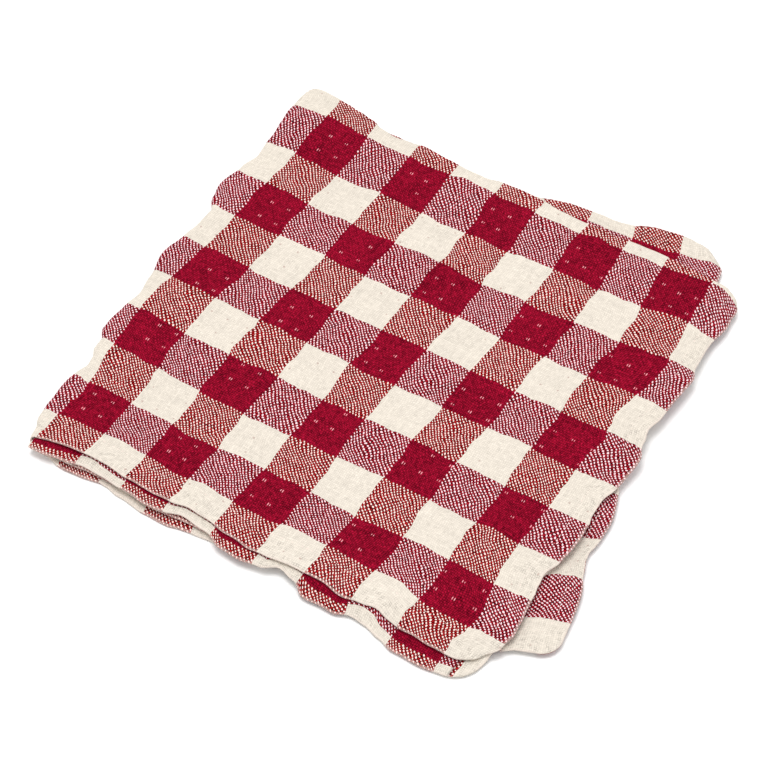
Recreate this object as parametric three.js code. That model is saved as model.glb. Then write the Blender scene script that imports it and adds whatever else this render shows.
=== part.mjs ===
// Checked cloth napkin, folded twice into a square and laid flat.
//
// Millimetres, +Z up. The top layer keeps the cloth's own directions: +X runs across it, from the
// side fold to the hems on the right, and -Y runs along it, from the back fold to the hems in front.
// The origin is on the resting surface, under the middle of the folded napkin.
//
// The cloth is first folded in half at the back, which makes pairs of layers, and then in half
// again at the side, which lays one pair on the other. The layers from the top are called
// top, second, third and bottom.

import * as THREE from 'three';

// Cloth: the size of a check, and how many checks lie between the middle of the cloth and each hem
const CHECK_ACROSS = 25.0;
const CHECK_ALONG = 25.9;
const CHECKS_TO_RIGHT_HEM = 10.16;
const CHECKS_TO_LEFT_HEM = 10.5;
const CHECKS_TO_FRONT_HEM = 10.16;
const CHECKS_TO_BACK_HEM_RIGHT = 10.27;
const CHECKS_TO_BACK_HEM_LEFT = 10.5;
const CORNER_ROUNDING = 12;
const FOLD_END_ROUNDING = 15;
const HEM_WIDTH = 12;

// Sheet and stack
const THICKNESS = 1.5;
const LAYER_PITCH = 2.0;
const LEAF_RADIUS = LAYER_PITCH / 2;
const SIDE_RADIUS = LAYER_PITCH;
const STACK_MIDDLE = SIDE_RADIUS + LEAF_RADIUS + THICKNESS / 2;

// Folds: the back fold's axis lies just in front of the middle of the cloth. The side fold's axis
// is not quite square to it, so it wanders across the middle band of the cloth, and the lower pair
// of layers comes out turned by twice as much.
const BACK_AXIS = 1.7;
const BACK_FOLD_AT = BACK_AXIS - LEAF_RADIUS * Math.PI / 2;
const SIDE_AXIS_AT_BACK = -4.0;
const SIDE_FOLD_LEAN = 0.056;
const LOWER_PAIR_TURN = 2 * SIDE_FOLD_LEAN;

// The side fold's axis at places from back to front: it bulges out at each red band
const SIDE_FOLD = [
  { reach: 8, axis: -5.5 },
  { reach: 34, axis: -2.5 },
  { reach: 47, axis: -0.8 },
  { reach: 57, axis: -3.3 },
  { reach: 73, axis: -5.8 },
  { reach: 82, axis: -3.8 },
  { reach: 91, axis: 1 },
  { reach: 103, axis: 0.8 },
  { reach: 112, axis: -0.6 },
  { reach: 127, axis: -3 },
  { reach: 145, axis: 1.2 },
  { reach: 156, axis: 3 },
  { reach: 167, axis: 1.4 },
  { reach: 177, axis: 0.8 },
  { reach: 185, axis: 1.4 },
  { reach: 190, axis: 4.6 },
  { reach: 197, axis: 5.2 },
  { reach: 203, axis: 8 },
  { reach: 209, axis: 9.2 },
  { reach: 216, axis: 7.4 },
  { reach: 224, axis: 6.6 },
  { reach: 238, axis: 7.6 },
  { reach: 248, axis: 8.4 },
  { reach: 255, axis: 11.5 },
  { reach: 262, axis: 12.4 },
];
const SIDE_BULGE_FADE = 60;

// How far each pair's back fold lies out behind its axis, at places away from the side fold
const BACK_FOLDS = [
  { away: 0, upper: 8.6, lower: 3 },
  { away: 8, upper: 7.6, lower: 3 },
  { away: 16, upper: 6.4, lower: 2 },
  { away: 24, upper: 5.5, lower: 1 },
  { away: 32, upper: 4.2, lower: 0.5 },
  { away: 40, upper: 1.4, lower: 0 },
  { away: 48, upper: 0, lower: -0.5 },
  { away: 57, upper: 0.9, lower: -1 },
  { away: 66, upper: 2.2, lower: -2 },
  { away: 80, upper: 0.6, lower: -3.5 },
  { away: 96, upper: -0.8, lower: -5.5 },
  { away: 104, upper: -1.1, lower: -7 },
  { away: 112, upper: 1, lower: -9 },
  { away: 121, upper: 1.5, lower: -10.5 },
  { away: 136, upper: 0.5, lower: -12 },
  { away: 146, upper: -1, lower: -12.2 },
  { away: 160, upper: -1.2, lower: -12 },
  { away: 168, upper: -0.7, lower: -10.4 },
  { away: 177, upper: -0.5, lower: -9 },
  { away: 192, upper: 0.3, lower: -9.4 },
  { away: 204, upper: 0.5, lower: -10.5 },
  { away: 215, upper: 0, lower: -9.6 },
  { away: 224, upper: -1, lower: -6.2 },
  { away: 240, upper: -2.6, lower: -5.7 },
  { away: 250, upper: -2.6, lower: -7.5 },
];
const BACK_BULGE_FADE = 120;

// The lower pair is also pulled askew, most along the back
const LOWER_PAIR_SKEW = 0.08;
const SKEW_REST_REACH = 226;
const SKEW_EASE_WIDTH = 110;

// How far each layer's front hem lies out beyond a straight one, at places along X
const FRONT_HEMS = [
  { x: 12, top: -4, second: -4.2, third: -6, bottom: -2.5 },
  { x: 20, top: -5.4, second: -4.2, third: -6, bottom: 0.4 },
  { x: 30, top: -6.4, second: -5.7, third: -5.5, bottom: 3.8 },
  { x: 40, top: -7, second: -8, third: -5, bottom: 4.3 },
  { x: 50, top: -7.1, second: -7.2, third: -4, bottom: 4 },
  { x: 62, top: -6.4, second: -5.6, third: -2.5, bottom: 7 },
  { x: 78, top: -5.2, second: -4.3, third: 0, bottom: 11.2 },
  { x: 88, top: -5, second: -4.6, third: 0.5, bottom: 12.6 },
  { x: 97, top: -6.6, second: -7.1, third: 1, bottom: 11.3 },
  { x: 110, top: -5.2, second: -5.6, third: 2, bottom: 11.7 },
  { x: 120, top: -3, second: -1.2, third: 2, bottom: 12.6 },
  { x: 133, top: -1.8, second: 0.2, third: 2, bottom: 12 },
  { x: 142, top: -2.6, second: -1.1, third: 1.5, bottom: 10 },
  { x: 150, top: -3.2, second: -5, third: 1, bottom: 7 },
  { x: 159, top: -3.5, second: -3.2, third: 0.5, bottom: 5 },
  { x: 167, top: -3.6, second: 1.9, third: 0, bottom: 5 },
  { x: 183, top: -1.8, second: 2.2, third: 1, bottom: 4 },
  { x: 191, top: -3.5, second: -0.7, third: 3, bottom: 1 },
  { x: 199, top: -5, second: -0.5, third: 5, bottom: 0 },
  { x: 207, top: -2.8, second: 2.9, third: 6, bottom: 0 },
  { x: 216, top: -1.3, second: 5.7, third: 6, bottom: -1 },
  { x: 230, top: -0.4, second: 6.6, third: 5, bottom: -2 },
  { x: 240, top: 0, second: 5.8, third: 4, bottom: -4 },
  { x: 249, top: -1.4, second: 4.2, third: 3, bottom: -6 },
  { x: 257, top: -1.4, second: 2.8, third: 2.7, bottom: -7 },
  { x: 265, top: -1.4, second: 2.8, third: -1.3, bottom: -8 },
  { x: 273, top: -1.4, second: 2.8, third: -2.7, bottom: -8 },
];

// How far each layer's right hem lies out beyond a straight one, at places from back to front
const RIGHT_HEMS = [
  { reach: 8, top: -1.2, second: -3.2, third: -5.2, bottom: -8 },
  { reach: 16, top: -1.8, second: -3.8, third: -1.4, bottom: -5 },
  { reach: 25, top: -1.4, second: -3.5, third: -1.8, bottom: -5 },
  { reach: 40, top: -2, second: -4, third: -1, bottom: -5 },
  { reach: 55, top: -0.8, second: -2.8, third: -1, bottom: -4 },
  { reach: 64, top: 1.3, second: -0.8, third: -1.5, bottom: -4 },
  { reach: 88, top: 1.2, second: -1, third: -3.5, bottom: -5.5 },
  { reach: 103, top: -1.5, second: -3.4, third: -5, bottom: -7 },
  { reach: 111, top: 0.6, second: -1.4, third: -6, bottom: -8 },
  { reach: 120, top: 4.4, second: 2.2, third: -7, bottom: -9 },
  { reach: 135, top: 3.3, second: 1.3, third: -9, bottom: -10 },
  { reach: 152, top: 1.1, second: -0.8, third: -8.8, bottom: -10 },
  { reach: 160, top: 1.5, second: -0.4, third: -8, bottom: -10 },
  { reach: 167, top: 2.3, second: 0.6, third: -6.7, bottom: -10 },
  { reach: 175, top: 3.1, second: 1.2, third: -4.3, bottom: -8 },
  { reach: 184, top: 3.1, second: 1.2, third: -3, bottom: -6.5 },
  { reach: 192, top: 2.5, second: 0.6, third: -3, bottom: -6.5 },
  { reach: 200, top: 0.5, second: -1.2, third: -4.6, bottom: -8 },
  { reach: 208, top: 1.3, second: 0, third: -7.6, bottom: -10.5 },
  { reach: 215, top: 2.3, second: 1, third: -6.9, bottom: -10 },
  { reach: 223, top: 3.6, second: 1.9, third: -5.2, bottom: -9 },
  { reach: 231, top: 5.2, second: 3, third: -2.9, bottom: -7 },
  { reach: 239, top: 6, second: 3.6, third: -2.4, bottom: -6 },
  { reach: 247, top: 4.7, second: 1.8, third: -1.5, bottom: -5 },
  { reach: 255, top: 0, second: 0.4, third: -2.6, bottom: -6 },
];
const TOP_HEM_STIFFNESS = 6;
const HIDDEN_HEM_STIFFNESS = 2;

// Where the upper pair reaches past the lower one it sinks onto the resting surface
const LOWER_RIGHT_EDGE_AT_BACK = 237;
const LOWER_RIGHT_EDGE_LEAN = 0.19;
const LOWER_FRONT_EDGE = [
  { x: 0, reach: 261 },
  { x: 130, reach: 261 },
  { x: 170, reach: 255 },
  { x: 215, reach: 247 },
  { x: 262, reach: 240 },
];
const SINK_DEPTH = 3.4;
const SINK_START = 1.5;
const SINK_WIDTH = 15;

// Soft swellings of the stack
const SWELLINGS = [
  { x: 4, y: -4, radius: 26, height: 2.2 },
  { x: 2, y: -70, radius: 22, height: 0.7 },
  { x: 8, y: -122, radius: 22, height: 0.6 },
  { x: 12, y: -230, radius: 24, height: 0.8 },
  { x: 110, y: -8, radius: 24, height: 0.6 },
];

// Mesh: steps across each leaf and around each fold
const STEPS_ACROSS_LEAF = 15;
const STEPS_ALONG_LEAF = 20;
const STEPS_IN_HEM = 3;
const STEPS_AROUND_SIDE_FOLD = 8;
const STEPS_AROUND_BACK_FOLD = 6;

function mix(a, b, share) {
  return a + (b - a) * share;
}

// Rises smoothly from 0 at the start to 1 at the end
function ease(value, start, end) {
  const share = Math.min(Math.max((value - start) / (end - start), 0), 1);
  return share * share * (3 - 2 * share);
}

// Reads a column of a table at a place between its rows
function readTable(rows, key, at, column) {
  if (at <= rows[0][key]) return rows[0][column];
  for (let i = 1; i < rows.length; i += 1) {
    if (at > rows[i][key]) continue;
    return mix(rows[i - 1][column], rows[i][column], ease(at, rows[i - 1][key], rows[i][key]));
  }
  return rows[rows.length - 1][column];
}

// How far the back fold lies out behind its axis, where the cloth has this measure across
function backBulge(across) {
  const foldStart = -SIDE_AXIS_AT_BACK;
  const lowerShare = ease(-across, foldStart, foldStart + SIDE_RADIUS * Math.PI);
  const upper = readTable(BACK_FOLDS, 'away', Math.abs(across), 'upper');
  const lower = readTable(BACK_FOLDS, 'away', Math.abs(across), 'lower');
  return mix(upper, lower, lowerShare);
}

// The back fold. Reach is the distance in front of its axis, and level is +1 on the upper leaf of
// a pair and -1 on the lower one. The bulge takes its cloth from the lower leaf.
function foldBack(along, bulge) {
  const past = along - BACK_FOLD_AT + bulge;
  const halfTurn = LEAF_RADIUS * Math.PI / 2;
  if (past >= halfTurn) return { reach: past - halfTurn - bulge, level: 1 };
  if (past <= -halfTurn) {
    const away = -past - halfTurn;
    return { reach: away - bulge + 2 * bulge * ease(away, 0, BACK_BULGE_FADE), level: -1 };
  }
  const angle = past / LEAF_RADIUS;
  return { reach: -bulge - LEAF_RADIUS * Math.cos(angle), level: Math.sin(angle) };
}

function sideFoldAt(reach, level) {
  const radius = SIDE_RADIUS + LEAF_RADIUS * level;
  const halfTurn = radius * Math.PI / 2;
  const axis = readTable(SIDE_FOLD, 'reach', reach, 'axis');
  const bulge = axis - SIDE_AXIS_AT_BACK - SIDE_FOLD_LEAN * reach;
  return { radius, halfTurn, axis, bulge, middle: axis - halfTurn };
}

// The side fold. Turned is 0 on the upper pair and 1 on the lower pair.
function foldSide(across, reach, level) {
  const { radius, halfTurn, axis, bulge, middle } = sideFoldAt(reach, level);
  const past = across - middle;
  if (past >= halfTurn) return { x: axis + past - halfTurn, rise: radius, turned: 0 };
  if (past <= -halfTurn) {
    const away = -past - halfTurn;
    return { x: axis + away - 2 * bulge * ease(away, 0, SIDE_BULGE_FADE), rise: -radius, turned: 1 };
  }
  const angle = past / radius;
  const turned = (1 - Math.sin(angle)) / 2;
  return { x: axis - radius * Math.cos(angle), rise: radius * Math.sin(angle), turned };
}

// A hem's shift on any layer, from the shifts of the four layers
function layerShift(rows, key, at, level, turned) {
  const upperShare = (1 + level) / 2;
  const upper = mix(readTable(rows, key, at, 'second'), readTable(rows, key, at, 'top'), upperShare);
  const lower = mix(readTable(rows, key, at, 'third'), readTable(rows, key, at, 'bottom'), upperShare);
  return mix(upper, lower, turned);
}

function sinkOfUpperPair(x, reach) {
  const pastRight = x - (LOWER_RIGHT_EDGE_AT_BACK + LOWER_RIGHT_EDGE_LEAN * reach);
  const pastFront = reach - readTable(LOWER_FRONT_EDGE, 'x', x, 'reach');
  const past = Math.max(pastRight, pastFront);
  return SINK_DEPTH * ease(past, SINK_START, SINK_START + SINK_WIDTH);
}

function swellAt(x, y) {
  let swell = 0;
  for (const { x: cx, y: cy, radius, height } of SWELLINGS) {
    swell += height * Math.exp(-((x - cx) ** 2 + (y - cy) ** 2) / (radius * radius));
  }
  return swell;
}

// Draws one measure in to a quarter circle near a corner, from its own share of the way to the
// corner and the other measure's
function cornerPull(share, otherShare, rounding) {
  return rounding * share * (1 - Math.sqrt(1 - otherShare * otherShare / 2));
}

// The share of the way to an edge, within a rounded corner
function cornerShare(toEdge, rounding) {
  return Math.min(Math.max(1 - toEdge / rounding, 0), 1);
}

// Where a point of the flat cloth lies in the folded napkin, on the middle of the sheet
function place(across, along, hemAcross, hemAlong) {
  const bulge = backBulge(across);
  const { reach, level } = foldBack(along, bulge);
  const { x: straightX, rise, turned } = foldSide(across, reach, level);
  const axis = sideFoldAt(reach, level).axis;
  const hemReached = Math.min(Math.abs(along) / hemAlong, 1);
  const onTop = (1 - turned) * (1 + level) / 2;
  const hemShare = mix(hemReached ** HIDDEN_HEM_STIFFNESS, hemReached ** TOP_HEM_STIFFNESS, onTop);
  const frontShift = layerShift(FRONT_HEMS, 'x', straightX, level, turned) * hemShare;
  const sideShare = Math.min(Math.abs(across) / hemAcross, 1) ** TOP_HEM_STIFFNESS;
  const rightShift = layerShift(RIGHT_HEMS, 'reach', reach, level, turned) * sideShare;
  const turn = turned * LOWER_PAIR_TURN * (straightX - axis);
  const hemNear = cornerShare(hemAcross - Math.abs(across), FOLD_END_ROUNDING);
  const foldNear = cornerShare(reach + bulge + LEAF_RADIUS, FOLD_END_ROUNDING);
  const endReach = cornerPull(foldNear, hemNear, FOLD_END_ROUNDING);
  const endX = cornerPull(hemNear, foldNear, FOLD_END_ROUNDING);
  const finalReach = reach + endReach + frontShift - turn;
  const skewShare = turned * ease(straightX - axis, 0, SKEW_EASE_WIDTH);
  const skew = LOWER_PAIR_SKEW * (finalReach - SKEW_REST_REACH) * skewShare;
  const x = straightX - endX + rightShift + skew;
  const y = -BACK_AXIS - finalReach;
  const sink = (1 - turned) * sinkOfUpperPair(x, finalReach);
  const flatZ = STACK_MIDDLE + rise - sink;
  const lift = swellAt(x, y) * ease(flatZ, THICKNESS, 2 * STACK_MIDDLE);
  return new THREE.Vector3(x, y, flatZ + lift);
}

// Steps from one hem to the other: from -1 to 1 around the fold, to 2 or -2 at the start of each
// hem, and to 3 or -3 at its edge
function stepsAcrossFold(stepsAroundFold, stepsAlongLeaf) {
  const beyond = [];
  for (let i = 1; i <= stepsAlongLeaf; i += 1) beyond.push(1 + i / stepsAlongLeaf);
  for (let i = 1; i <= STEPS_IN_HEM; i += 1) beyond.push(2 + i / STEPS_IN_HEM);
  const around = [];
  for (let i = 0; i <= stepsAroundFold; i += 1) around.push(-1 + 2 * i / stepsAroundFold);
  return [...beyond.map((step) => -step).reverse(), ...around, ...beyond];
}

// A cloth measure from such a step, with the fold's middle and half length and the two hems
function measureAtStep(step, middle, halfLength, lowHem, highHem) {
  const side = Math.sign(step);
  const size = Math.abs(step);
  if (size <= 1) return middle + halfLength * step;
  const edge = side > 0 ? highHem : -lowHem;
  const hemStart = edge - side * HEM_WIDTH;
  if (size <= 2) return mix(middle + side * halfLength, hemStart, size - 1);
  return mix(hemStart, edge, size - 2);
}

// Draws a corner of the cloth in to a quarter circle
function roundCorner(across, along, hemAcross, hemAlong) {
  const a = cornerShare(hemAcross - Math.abs(across), CORNER_ROUNDING);
  const b = cornerShare(hemAlong - Math.abs(along), CORNER_ROUNDING);
  const acrossIn = cornerPull(a, b, CORNER_ROUNDING);
  const alongIn = cornerPull(b, a, CORNER_ROUNDING);
  return [across - Math.sign(across) * acrossIn, along - Math.sign(along) * alongIn];
}

// The middle surface as a grid of points, row by row from the second and third layers' hems
// at the front, over the back fold, to the top and bottom layers' hems
function middleSurface() {
  const columns = stepsAcrossFold(STEPS_AROUND_SIDE_FOLD, STEPS_ACROSS_LEAF);
  const rows = stepsAcrossFold(STEPS_AROUND_BACK_FOLD, STEPS_ALONG_LEAF);
  const hemLeft = CHECK_ACROSS * CHECKS_TO_LEFT_HEM;
  const hemRight = CHECK_ACROSS * CHECKS_TO_RIGHT_HEM;
  const hemAhead = CHECK_ALONG * CHECKS_TO_FRONT_HEM;
  const halfLeafTurn = LEAF_RADIUS * Math.PI / 2;
  return rows.map((rowStep) => columns.map((columnStep) => {
    const aboutAcross = measureAtStep(columnStep, SIDE_AXIS_AT_BACK, SIDE_RADIUS, hemLeft, hemRight);
    const columnShare = (aboutAcross + hemLeft) / (hemLeft + hemRight);
    const hemBehind = CHECK_ALONG * mix(CHECKS_TO_BACK_HEM_LEFT, CHECKS_TO_BACK_HEM_RIGHT, columnShare);
    const bulge = backBulge(aboutAcross);
    const foldMiddle = BACK_FOLD_AT - bulge;
    const straightAlong = measureAtStep(rowStep, foldMiddle, halfLeafTurn, hemBehind, hemAhead);
    const { reach, level } = foldBack(straightAlong, bulge);
    const { middle, halfTurn } = sideFoldAt(reach, level);
    const straightAcross = measureAtStep(columnStep, middle, halfTurn, hemLeft, hemRight);
    const hemAcross = straightAcross < 0 ? hemLeft : hemRight;
    const hemAlong = straightAlong < 0 ? hemBehind : hemAhead;
    const [across, along] = roundCorner(straightAcross, straightAlong, hemAcross, hemAlong);
    return place(across, along, hemAcross, hemAlong);
  }));
}

// The surface's normal at a grid point, from its neighbours
function normalAt(grid, row, column) {
  const lastRow = grid.length - 1;
  const lastColumn = grid[0].length - 1;
  const right = grid[row][Math.min(column + 1, lastColumn)];
  const left = grid[row][Math.max(column - 1, 0)];
  const ahead = grid[Math.min(row + 1, lastRow)][column];
  const behind = grid[Math.max(row - 1, 0)][column];
  const acrossEdge = new THREE.Vector3().subVectors(right, left);
  const alongEdge = new THREE.Vector3().subVectors(ahead, behind);
  return alongEdge.cross(acrossEdge).normalize();
}

// A closed sheet of even thickness around the middle surface
function sheetGeometry(grid) {
  const rowCount = grid.length;
  const columnCount = grid[0].length;
  const positions = [];
  for (const side of [1, -1]) {
    for (let row = 0; row < rowCount; row += 1) {
      for (let column = 0; column < columnCount; column += 1) {
        const offset = normalAt(grid, row, column).multiplyScalar(side * THICKNESS / 2);
        positions.push(...offset.add(grid[row][column]).toArray());
      }
    }
  }
  const face = (row, column) => row * columnCount + column;
  const back = (row, column) => rowCount * columnCount + face(row, column);
  const indices = [];
  const quad = (a, b, c, d) => indices.push(a, b, c, a, c, d);
  for (let row = 0; row + 1 < rowCount; row += 1) {
    for (let column = 0; column + 1 < columnCount; column += 1) {
      quad(face(row, column), face(row + 1, column), face(row + 1, column + 1), face(row, column + 1));
      quad(back(row, column), back(row, column + 1), back(row + 1, column + 1), back(row + 1, column));
    }
  }
  const lastRow = rowCount - 1;
  const lastColumn = columnCount - 1;
  for (let column = 0; column < lastColumn; column += 1) {
    quad(face(0, column), face(0, column + 1), back(0, column + 1), back(0, column));
    quad(face(lastRow, column + 1), face(lastRow, column), back(lastRow, column), back(lastRow, column + 1));
  }
  for (let row = 0; row < lastRow; row += 1) {
    quad(face(row + 1, 0), face(row, 0), back(row, 0), back(row + 1, 0));
    quad(face(row, lastColumn), face(row + 1, lastColumn), back(row + 1, lastColumn), back(row, lastColumn));
  }
  const geometry = new THREE.BufferGeometry();
  geometry.setAttribute('position', new THREE.Float32BufferAttribute(positions, 3));
  geometry.setIndex(indices);
  return geometry;
}

const geometry = sheetGeometry(middleSurface());
geometry.computeBoundingBox();
const { min, max } = geometry.boundingBox;
geometry.translate(-(min.x + max.x) / 2, -(min.y + max.y) / 2, -min.z);
geometry.computeVertexNormals();

const checkedGauze = new THREE.MeshStandardMaterial({ color: 0xc4707a, roughness: 0.95, metalness: 0 });
const napkin = new THREE.Mesh(geometry, checkedGauze);
napkin.name = 'napkin';

const part = new THREE.Group();
part.add(napkin);

export default part;
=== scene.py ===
import math

import bpy
import numpy as np
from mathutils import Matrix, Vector


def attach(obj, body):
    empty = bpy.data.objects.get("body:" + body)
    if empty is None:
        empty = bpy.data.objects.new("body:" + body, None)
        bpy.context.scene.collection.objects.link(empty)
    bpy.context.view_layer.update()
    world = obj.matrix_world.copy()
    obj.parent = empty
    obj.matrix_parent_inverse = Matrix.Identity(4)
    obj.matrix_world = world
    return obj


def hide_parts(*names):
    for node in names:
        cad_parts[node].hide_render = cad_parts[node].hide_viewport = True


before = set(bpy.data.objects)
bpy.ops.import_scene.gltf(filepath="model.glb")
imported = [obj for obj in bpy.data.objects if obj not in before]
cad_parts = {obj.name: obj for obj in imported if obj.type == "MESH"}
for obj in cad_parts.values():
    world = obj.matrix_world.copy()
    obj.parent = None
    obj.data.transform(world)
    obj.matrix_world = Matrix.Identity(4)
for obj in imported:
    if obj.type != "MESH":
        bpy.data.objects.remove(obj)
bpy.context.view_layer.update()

# A checked cotton gauze napkin, folded twice and laid flat.
#
# The cloth is worked out in millimetres from two measures on the flat cloth: across, from its
# middle towards the right hems, and along, from its middle towards the front hems of the top
# layer. The layers are called top, second, third and bottom.

MM = 0.001

# Cloth: the size of a check, and how many checks lie between its middle and each hem
CHECK_ACROSS = 25.0
CHECK_ALONG = 25.9
HEM_RIGHT = 10.16 * CHECK_ACROSS
HEM_LEFT = 10.5 * CHECK_ACROSS
HEM_AHEAD = 10.16 * CHECK_ALONG
HEM_BEHIND_RIGHT = 10.27 * CHECK_ALONG
HEM_BEHIND_LEFT = 10.5 * CHECK_ALONG
CORNER_ROUNDING = 12.0
FOLD_END_ROUNDING = 15.0
FRONT_HEM_WIDTH = 12.5
SIDE_HEM_WIDTH = 7.8
PAST_THE_SEAM = 1.8
WARP_PER_CHECK = 25.0
WEFT_PER_CHECK = 23.0

# Sheet and stack
SHEET = 1.05
HEM_THICKENING = 0.35
EDGE_THICKNESS = 0.5
EDGE_TAPER = 1.8
SOLID_THICKNESS = 1.5
LEAF_RADIUS = 1.0
SIDE_RADIUS = 2.0
STACK_MIDDLE = SIDE_RADIUS + LEAF_RADIUS + SOLID_THICKNESS / 2

# Folds
BACK_AXIS = 1.7
BACK_FOLD_AT = BACK_AXIS - LEAF_RADIUS * math.pi / 2
SIDE_AXIS_AT_BACK = -4.0
SIDE_FOLD_LEAN = 0.056
LOWER_PAIR_TURN = 2 * SIDE_FOLD_LEAN
SIDE_BULGE_FADE = 60.0
BACK_BULGE_FADE = 120.0
LOWER_PAIR_SKEW = 0.08
SKEW_REST_REACH = 226.0
SKEW_EASE_WIDTH = 110.0
TOP_HEM_STIFFNESS = 6
HIDDEN_HEM_STIFFNESS = 2
EDGE_WAVE_STIFFNESS = 24
RIPPLE_STIFFNESS = 14
THIRD_SHARE_START = 6.0
THIRD_SHARE_END = 70.0

# No point of the sheet lies nearer to the resting surface than this
LOWEST = 0.05

# The middle of the folded napkin's box, in the frame of the unmoved top layer
MIDDLE = (134.349, -126.731)


def table(names, rows):
    """A short table as one array per named column."""
    return dict(zip(names.split(), np.array(rows, dtype=float).T))


# The side fold's axis from back to front: it bulges out at each red band
SIDE_FOLD = table("reach axis", [
    (8, -5.5), (34, -2.5), (47, -0.8), (57, -3.3), (73, -5.8), (82, -3.8), (91, 1), (103, 0.8),
    (112, -0.6), (127, -3), (145, 1.2), (156, 3), (167, 1.4), (177, 0.8), (185, 1.4), (190, 4.6),
    (197, 5.2), (203, 8), (209, 9.2), (216, 7.4), (224, 6.6), (238, 7.6), (248, 8.4), (255, 11.5),
    (262, 12.4),
])

# How far each pair's back fold lies out behind its axis, at places away from the side fold
BACK_FOLDS = table("away upper lower", [
    (0, 8.6, 3), (8, 7.6, 3), (16, 6.4, 2), (24, 5.5, 1), (32, 4.2, 0.5),
    (40, 1.4, 0), (48, 0, -0.5), (57, 0.9, -1), (66, 2.2, -2), (80, 0.6, -3.5),
    (96, -0.8, -5.5), (104, -1.1, -7), (112, 1, -9), (121, 1.5, -10.5), (136, 0.5, -12),
    (146, -1, -12.2), (160, -1.2, -12), (168, -0.7, -10.4), (177, -0.5, -9), (192, 0.3, -9.4),
    (204, 0.5, -10.5), (215, 0, -9.6), (224, -1, -6.2), (240, -2.6, -5.7), (250, -2.6, -7.5),
])

# How far each layer's front hem lies out beyond a straight one, at places along X
FRONT_HEMS = table("x top second third bottom", [
    (12, -4, -4.2, -6, -2.5),
    (20, -5.4, -4.2, -6, 0.4),
    (30, -6.4, -5.7, -5.5, 3.8),
    (40, -7, -8, -5, 4.3),
    (50, -7.1, -7.2, -4, 4),
    (62, -6.4, -5.6, -2.5, 7),
    (78, -5.2, -4.3, 0, 11.2),
    (88, -5, -4.6, 0.5, 12.6),
    (97, -6.6, -7.1, 1, 11.3),
    (110, -5.2, -5.6, 2, 11.7),
    (120, -3, -1.2, 2, 12.6),
    (133, -1.8, 0.2, 2, 12),
    (142, -2.6, -1.1, 1.5, 10),
    (150, -3.2, -5, 1, 7),
    (159, -3.5, -3.2, 0.5, 5),
    (167, -3.6, 1.9, 0, 5),
    (183, -1.8, 2.2, 1, 4),
    (191, -3.5, -0.7, 3, 1),
    (199, -5, -0.5, 5, 0),
    (207, -2.8, 2.9, 6, 0),
    (216, -1.3, 5.7, 6, -1),
    (230, -0.4, 6.6, 5, -2),
    (240, 0, 5.8, 4, -4),
    (249, -1.4, 4.2, 3, -6),
    (257, -1.4, 2.8, 2.7, -7),
    (265, -1.4, 2.8, -1.3, -8),
    (273, -1.4, 2.8, -2.7, -8),
])

# How far each layer's right hem lies out beyond a straight one, at places from back to front
RIGHT_HEMS = table("reach top second third bottom", [
    (8, -1.2, -3.2, -5.2, -8),
    (16, -1.8, -3.8, -1.4, -5),
    (25, -1.4, -3.5, -1.8, -5),
    (40, -2, -4, -1, -5),
    (55, -0.8, -2.8, -1, -4),
    (64, 1.3, -0.8, -1.5, -4),
    (88, 1.2, -1, -3.5, -5.5),
    (103, -1.5, -3.4, -5, -7),
    (111, 0.6, -1.4, -6, -8),
    (120, 4.4, 2.2, -7, -9),
    (135, 3.3, 1.3, -9, -10),
    (152, 1.1, -0.8, -8.8, -10),
    (160, 1.5, -0.4, -8, -10),
    (167, 2.3, 0.6, -6.7, -10),
    (175, 3.1, 1.2, -4.3, -8),
    (184, 3.1, 1.2, -3, -6.5),
    (192, 2.5, 0.6, -3, -6.5),
    (200, 0.5, -1.2, -4.6, -8),
    (208, 1.3, 0, -7.6, -10.5),
    (215, 2.3, 1, -6.9, -10),
    (223, 3.6, 1.9, -5.2, -9),
    (231, 5.2, 3, -2.9, -7),
    (239, 6, 3.6, -2.4, -6),
    (247, 4.7, 1.8, -1.5, -5),
    (255, 0, 0.4, -2.6, -6),
])

# Where the upper pair reaches past the lower one it sinks onto the resting surface
LOWER_RIGHT_EDGE_AT_BACK = 237.0
LOWER_RIGHT_EDGE_LEAN = 0.19
LOWER_FRONT_EDGE = table("x reach", [(0, 261), (130, 261), (170, 255), (215, 247), (262, 240)])
SINK_DEPTH = 3.4
SINK_START = 1.5
SINK_WIDTH = 15.0

# Soft swellings of the stack, in the frame of the top layer
SWELLINGS = table("x y radius height", [
    (4, -4, 26, 2.2),
    (2, -70, 22, 0.7),
    (8, -122, 22, 0.6),
    (12, -230, 24, 0.8),
    (110, -8, 24, 0.6),
])

# Creases of the top layer, from one place on the cloth to another: a trough is less than 0
CREASES = table("across along to_across to_along width height", [
    (178, 2, 188, 40, 3.5, -1.3),
    (171, 4, 180, 40, 5.0, 0.9),
    (242, 247, 249, 262, 2.6, 1.0),
    (236, 249, 243, 262, 3.0, -0.6),
    (150, 232, 170, 221, 4.0, -0.9),
    (205, 228, 232, 234, 4.0, 0.5),
    (24, 236, 60, 240, 5.0, -0.6),
    (96, 96, 128, 104, 7.0, -0.3),
    (60, 170, 74, 140, 7.0, 0.3),
])

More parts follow.
